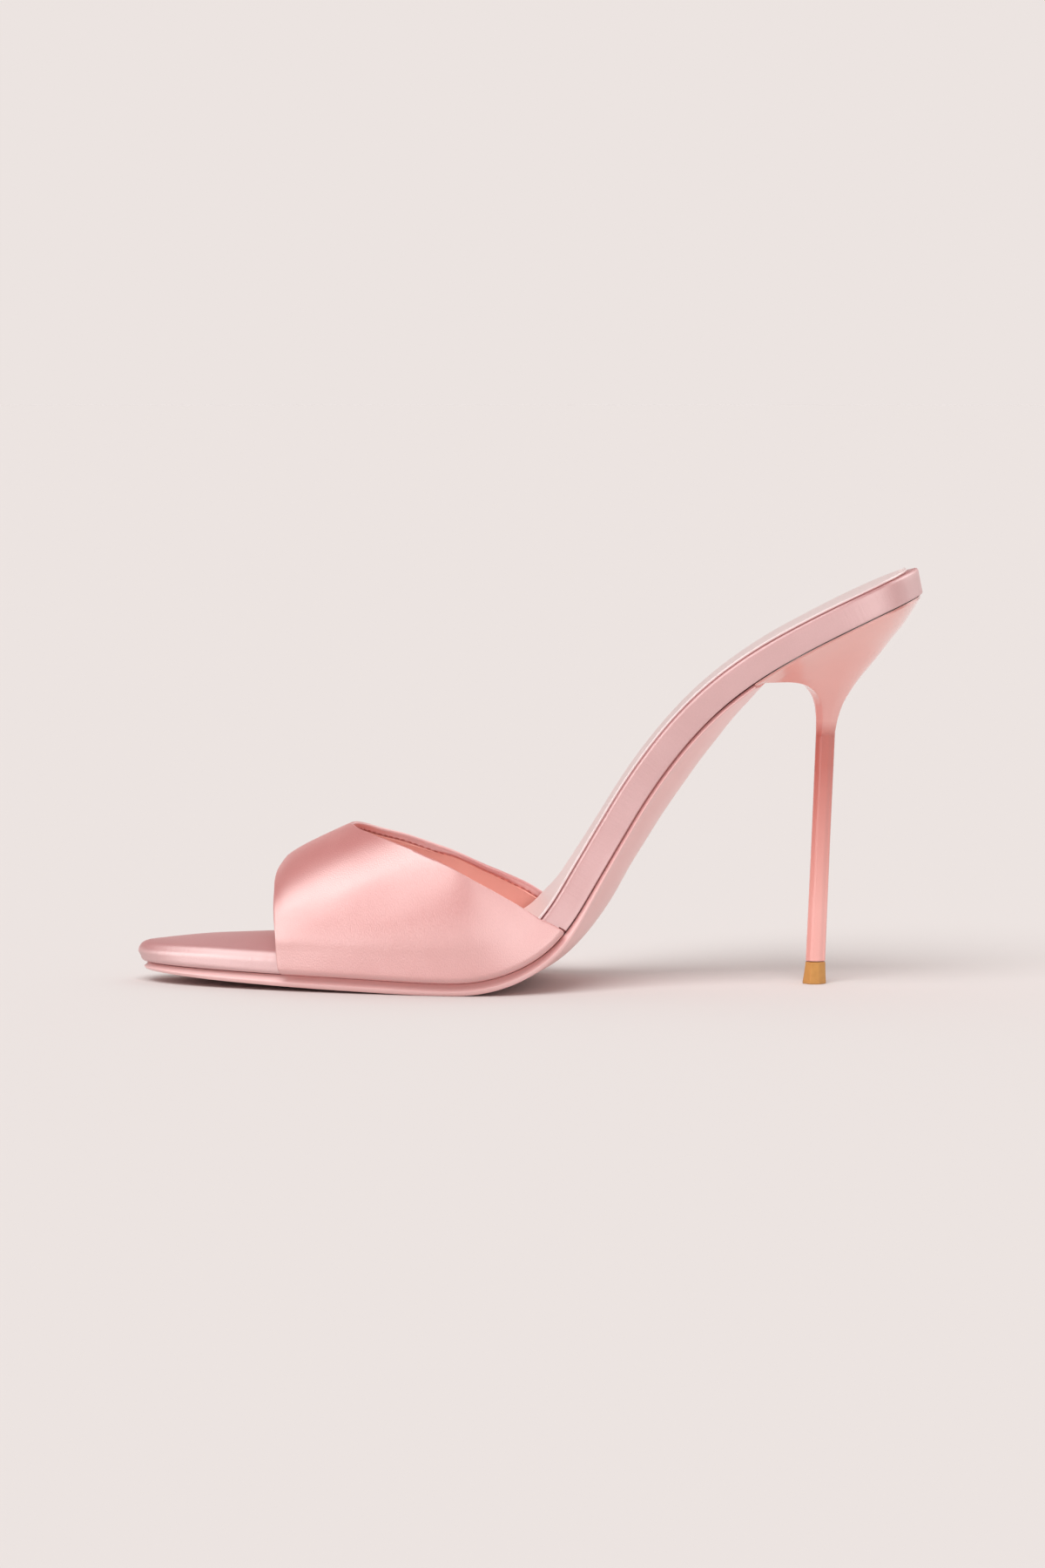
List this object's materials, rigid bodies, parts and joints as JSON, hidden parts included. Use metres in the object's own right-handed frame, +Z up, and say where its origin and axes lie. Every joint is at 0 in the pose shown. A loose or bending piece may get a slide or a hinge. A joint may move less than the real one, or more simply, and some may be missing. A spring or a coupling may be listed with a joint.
{
  "type": "heeled mule",
  "caption": "Backless heeled mule with a V-cut band upper, open pointed toe, wrapped footbed and slim high heel.",
  "frame": {"origin": "centre of the shoe's box in X and Y, on the plane that the outsole and the top piece stand on", "axes": "+X along the shoe towards the heel, +Y across it towards the inner side of the foot, +Z up"},
  "size_m": [0.2145, 0.0772, 0.1137],
  "materials": {
    "satin": "salmon pink satin, soft sheen",
    "sock_satin": "salmon pink, smooth and soft, satin sheen",
    "sole_leather": "salmon pink, lightly polished",
    "heel_lacquer": "salmon pink lacquer, smooth",
    "top_piece_rubber": "tan, dull"
  },
  "bodies": {
    "root": {"footbed": "satin", "sock": "sock_satin", "upper": "satin", "outsole": "sole_leather", "heel": "heel_lacquer", "top_piece": "top_piece_rubber"}
  },
  "joints": []
}
